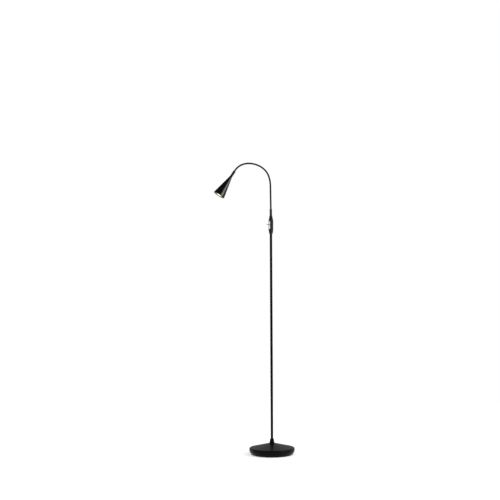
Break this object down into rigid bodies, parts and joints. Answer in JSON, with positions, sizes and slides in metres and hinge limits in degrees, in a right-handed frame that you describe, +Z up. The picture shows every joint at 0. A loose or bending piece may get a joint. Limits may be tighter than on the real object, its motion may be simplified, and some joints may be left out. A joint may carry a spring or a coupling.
{
  "type": "floor lamp",
  "caption": "Slim floor reading lamp: round weighted base, straight pole with a toggle switch, gooseneck arm and a conical LED spot head.",
  "frame": {"origin": "centre of the base's underside, on the floor", "axes": "+Z up along the pole; the gooseneck leans over towards -X; the switch faces -X and -Y"},
  "size_m": [0.3557, 0.201, 1.2817],
  "materials": {
    "felt": "dense black felt",
    "iron": "bare grey casting",
    "base_paint": "satin black powder coat",
    "pole_paint": "satin black powder coat",
    "gland_plastic": "black nylon",
    "zinc_steel": "zinc plated steel",
    "lead_sheath": "black flexible sheath",
    "polished": "polished nickel plate",
    "switch_plastic": "moulded phenolic",
    "neck_steel": "matt black wound steel",
    "shade_paint": "semi-gloss black enamel",
    "sink_metal": "bare turned aluminium",
    "phosphor": "LED phosphor",
    "lens_clear": "lit warm white lens",
    "holder_plastic": "black moulding",
    "bezel_metal": "dark grey anodised"
  },
  "bodies": {
    "stand": {"floor_pad": "felt", "base_weight": "iron", "base_cover": "base_paint", "cord_gland": "gland_plastic", "base_collar": "base_paint", "pole_stud": "zinc_steel", "stud_washer": "zinc_steel", "stud_lock_washer": "zinc_steel", "stud_nut": "zinc_steel", "pole": "pole_paint", "pole_nipple": "zinc_steel", "mains_lead": "lead_sheath", "switch_housing": "pole_paint", "housing_cap": "pole_paint", "switch_plate": "polished", "plate_screws": "polished", "switch_body": "switch_plastic", "toggle_bushing": "polished", "toggle_nut": "polished", "foot_ferrule": "pole_paint", "neck_link_00": "neck_steel", "arm_lead": "lead_sheath"},
    "neck_01": {"neck_link_01": "neck_steel"},
    "neck_02": {"neck_link_02": "neck_steel"},
    "neck_03": {"neck_link_03": "neck_steel"},
    "neck_04": {"neck_link_04": "neck_steel"},
    "neck_05": {"neck_link_05": "neck_steel"},
    "neck_06": {"neck_link_06": "neck_steel"},
    "neck_07": {"neck_link_07": "neck_steel"},
    "neck_08": {"neck_link_08": "neck_steel"},
    "neck_09": {"neck_link_09": "neck_steel"},
    "neck_10": {"neck_link_10": "neck_steel"},
    "neck_11": {"neck_link_11": "neck_steel"},
    "neck_12": {"neck_link_12": "neck_steel"},
    "neck_13": {"neck_link_13": "neck_steel"},
    "neck_14": {"neck_link_14": "neck_steel"},
    "neck_15": {"neck_link_15": "neck_steel"},
    "head": {"neck_link_16": "neck_steel", "head_ferrule": "pole_paint", "shade": "shade_paint", "heat_sink": "sink_metal", "led_board": "sink_metal", "led_chip": "phosphor", "lens": "lens_clear", "lens_holder": "holder_plastic", "bezel_ring": "bezel_metal"},
    "toggle": {"toggle_lever": "polished"}
  },
  "joints": [
    {"name": "neck_lean_1", "type": "hinge", "parent": "stand", "child": "neck_01", "pos_m": [0, 0, 1.0832], "axis": [1, 0, 0], "range_deg": [-10, 10], "deforming": ["arm_lead"]},
    {"name": "neck_lean_2", "type": "hinge", "parent": "neck_01", "child": "neck_02", "pos_m": [-0.00029, 0, 1.1042], "axis": [1, 0, 0], "range_deg": [-10, 10], "deforming": ["arm_lead"]},
    {"name": "neck_lean_3", "type": "hinge", "parent": "neck_02", "child": "neck_03", "pos_m": [-0.00059, 0, 1.1252], "axis": [1, 0, 0], "range_deg": [-10, 10], "deforming": ["arm_lead"]},
    {"name": "neck_lean_4", "type": "hinge", "parent": "neck_03", "child": "neck_04", "pos_m": [-0.00088, 0, 1.14619], "axis": [1, 0, 0], "range_deg": [-10, 10], "deforming": ["arm_lead"]},
    {"name": "neck_lean_5", "type": "hinge", "parent": "neck_04", "child": "neck_05", "pos_m": [-0.00117, 0, 1.16719], "axis": [1, 0, 0], "range_deg": [-10, 10], "deforming": ["arm_lead"]},
    {"name": "neck_curl_1", "type": "hinge", "parent": "neck_05", "child": "neck_06", "pos_m": [-0.00147, 0, 1.18819], "axis": [0, -1, 0], "range_deg": [-16.2, 2.16], "deforming": ["arm_lead"]},
    {"name": "neck_curl_2", "type": "hinge", "parent": "neck_06", "child": "neck_07", "pos_m": [-0.00439, 0, 1.20898], "axis": [0, -1, 0], "range_deg": [-23.62, 3.15], "deforming": ["arm_lead"]},
    {"name": "neck_curl_3", "type": "hinge", "parent": "neck_07", "child": "neck_08", "pos_m": [-0.01105, 0, 1.2289], "axis": [0, -1, 0], "range_deg": [-34.88, 4.65], "deforming": ["arm_lead"]},
    {"name": "neck_curl_4", "type": "hinge", "parent": "neck_08", "child": "neck_09", "pos_m": [-0.02279, 0, 1.24631], "axis": [0, -1, 0], "range_deg": [-33.75, 4.5], "deforming": ["arm_lead"]},
    {"name": "neck_curl_5", "type": "hinge", "parent": "neck_09", "child": "neck_10", "pos_m": [-0.03864, 0, 1.26009], "axis": [0, -1, 0], "range_deg": [-30.38, 4.05], "deforming": ["arm_lead"]},
    {"name": "neck_curl_6", "type": "hinge", "parent": "neck_10", "child": "neck_11", "pos_m": [-0.05727, 0, 1.26978], "axis": [0, -1, 0], "range_deg": [-24.75, 3.3], "deforming": ["arm_lead"]},
    {"name": "neck_curl_7", "type": "hinge", "parent": "neck_11", "child": "neck_12", "pos_m": [-0.07741, 0, 1.27575], "axis": [0, -1, 0], "range_deg": [-23.62, 3.15], "deforming": ["arm_lead"]},
    {"name": "neck_curl_8", "type": "hinge", "parent": "neck_12", "child": "neck_13", "pos_m": [-0.09829, 0, 1.27794], "axis": [0, -1, 0], "range_deg": [-29.25, 3.9], "deforming": ["arm_lead"]},
    {"name": "neck_curl_9", "type": "hinge", "parent": "neck_13", "child": "neck_14", "pos_m": [-0.11914, 0, 1.27538], "axis": [0, -1, 0], "range_deg": [-31.5, 4.2], "deforming": ["arm_lead"]},
    {"name": "neck_curl_10", "type": "hinge", "parent": "neck_14", "child": "neck_15", "pos_m": [-0.13874, 0, 1.26786], "axis": [0, -1, 0], "range_deg": [-38.25, 5.1], "deforming": ["arm_lead"]},
    {"name": "neck_curl_11", "type": "hinge", "parent": "neck_15", "child": "head", "pos_m": [-0.15529, 0, 1.25493], "axis": [0, -1, 0], "range_deg": [-40.5, 5.4], "deforming": ["arm_lead"]},
    {"name": "toggle_flip", "type": "hinge", "parent": "stand", "child": "toggle", "pos_m": [-0.00894, -0.00751, 1.0076], "axis": [0.6428, -0.766, 0], "range_deg": [0, 18]}
  ]
}
